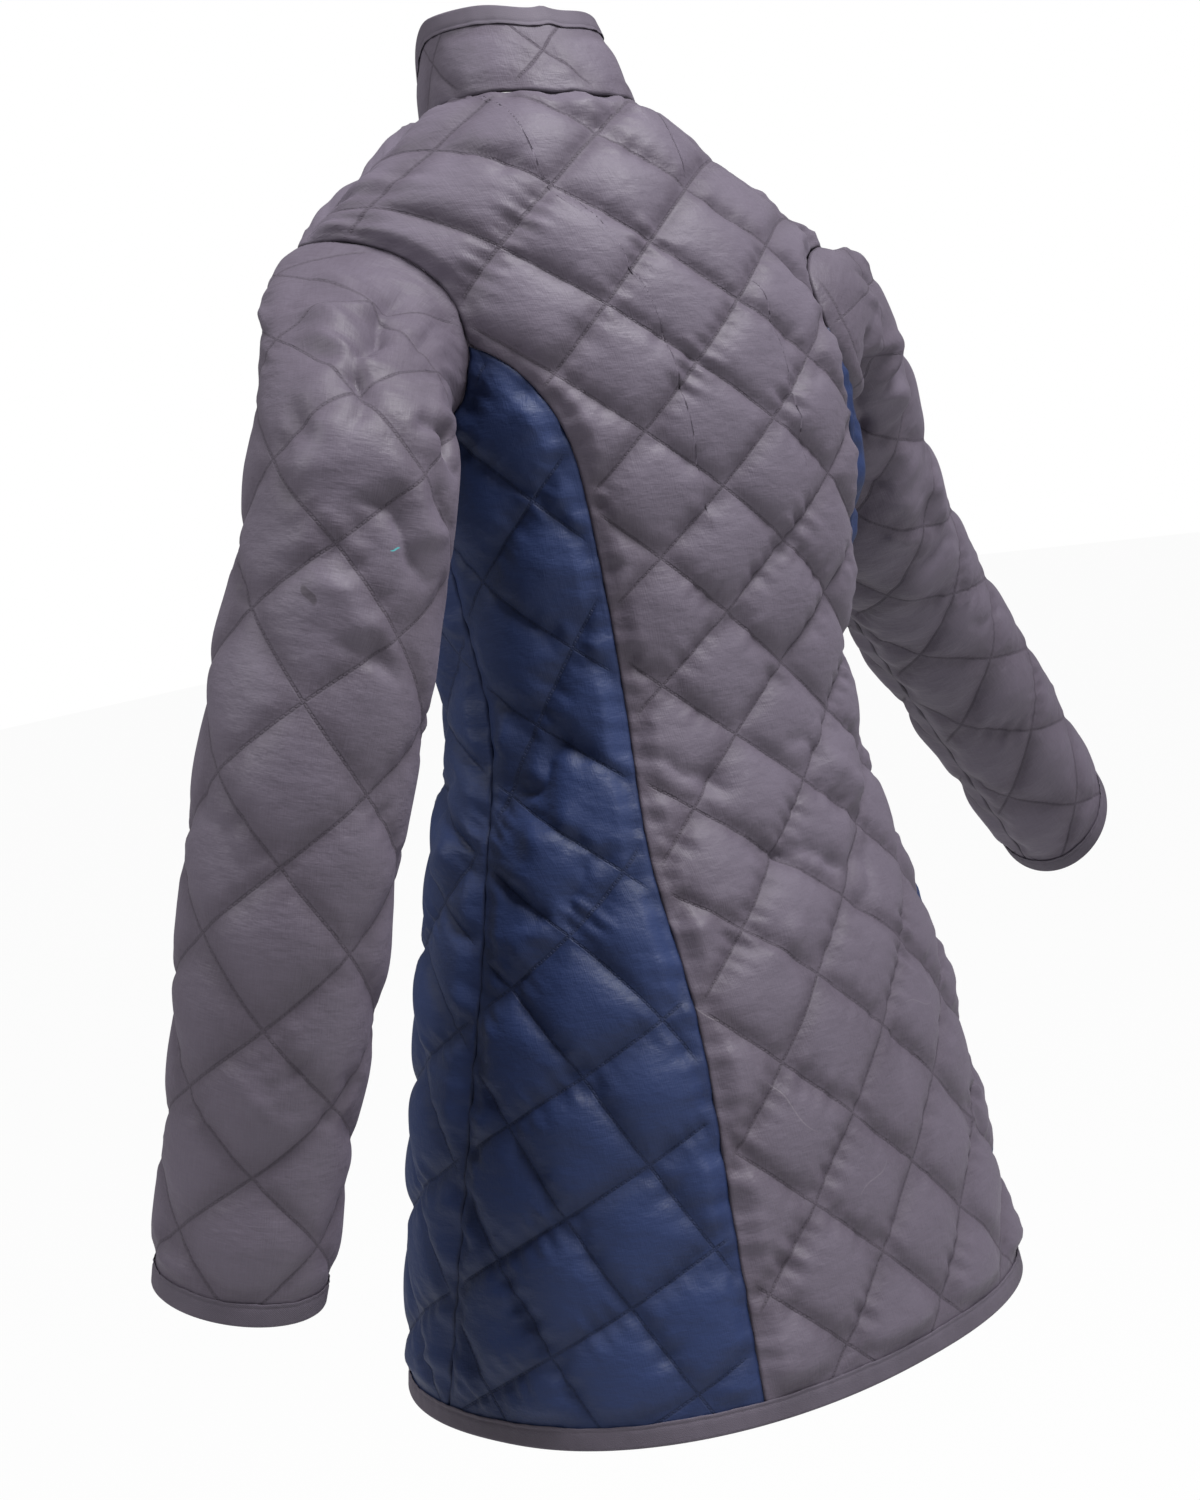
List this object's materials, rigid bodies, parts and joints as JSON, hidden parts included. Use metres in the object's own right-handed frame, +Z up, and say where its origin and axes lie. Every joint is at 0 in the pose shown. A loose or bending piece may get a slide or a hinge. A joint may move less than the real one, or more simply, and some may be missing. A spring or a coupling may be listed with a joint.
{
  "type": "gambeson",
  "caption": "Thigh-length padded coat with diamond quilting, contrast side panels, stand collar and long sleeves, held in a worn pose and hollow inside.",
  "frame": {"origin": "middle of the neck at the top of the shoulders, where the wearer's neck holds the coat up", "axes": "+Z up, the coat's front faces -Y and its back +Y, the wearer's left is +X"},
  "size_m": [0.9843, 0.3818, 0.8797],
  "materials": {
    "grey_cloth": "grey-mauve cotton sateen, quilted over padding",
    "navy_cloth": "navy cotton, quilted over padding",
    "grey_tape": "folded grey cotton tape"
  },
  "bodies": {
    "root": {"back": "grey_cloth", "collar": "grey_cloth", "collar_binding": "grey_tape", "cuff_binding_L": "grey_tape", "cuff_binding_R": "grey_tape", "front_L": "grey_cloth", "front_R": "grey_cloth", "front_binding_L": "grey_tape", "front_binding_R": "grey_tape", "hem_binding": "grey_tape", "side_back_L": "navy_cloth", "side_back_R": "navy_cloth", "side_front_L": "navy_cloth", "side_front_R": "navy_cloth", "sleeve_L": "grey_cloth", "sleeve_R": "grey_cloth"}
  },
  "joints": []
}
